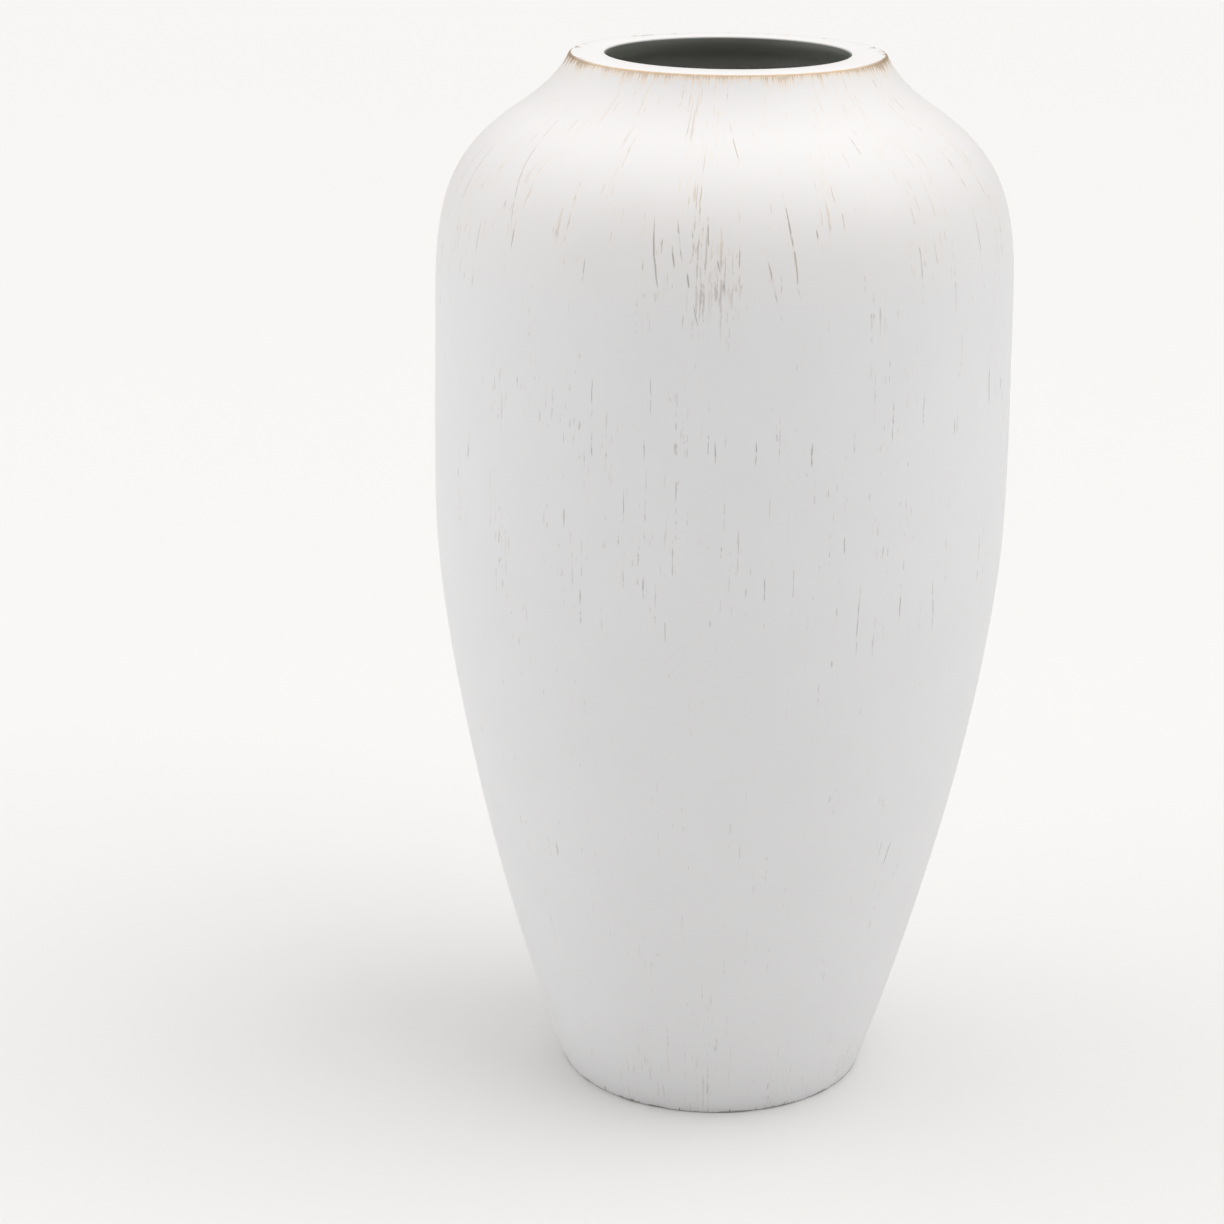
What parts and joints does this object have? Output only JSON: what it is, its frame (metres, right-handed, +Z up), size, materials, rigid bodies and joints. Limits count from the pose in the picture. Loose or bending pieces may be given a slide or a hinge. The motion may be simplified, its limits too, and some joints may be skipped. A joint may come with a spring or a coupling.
{
  "type": "shouldered vase",
  "caption": "Tall shouldered ceramic vase with a flat lip and a narrow foot, brushed matte white outside and dark glazed inside, standing on felt pads.",
  "frame": {"origin": "on the table plane, under the centre of the foot", "axes": "+Z up along the vase's axis, from foot to mouth; +X and +Y are alike, because the vase is round"},
  "size_m": [0.1678, 0.1678, 0.31],
  "materials": {
    "whitewashed_ceramic": "matte white paint brushed along the pot, worn through in fine tan streaks",
    "clay_slip": "fired unglazed clay slip",
    "dark_glaze": "dark grey-green satin glaze",
    "felt": "pressed wool felt"
  },
  "bodies": {
    "root": {"lower_body": "whitewashed_ceramic", "upper_body": "whitewashed_ceramic", "joint_slip": "clay_slip", "glaze_lining": "dark_glaze", "foot_pad_1": "felt", "foot_pad_2": "felt", "foot_pad_3": "felt", "foot_pad_4": "felt"}
  },
  "joints": []
}
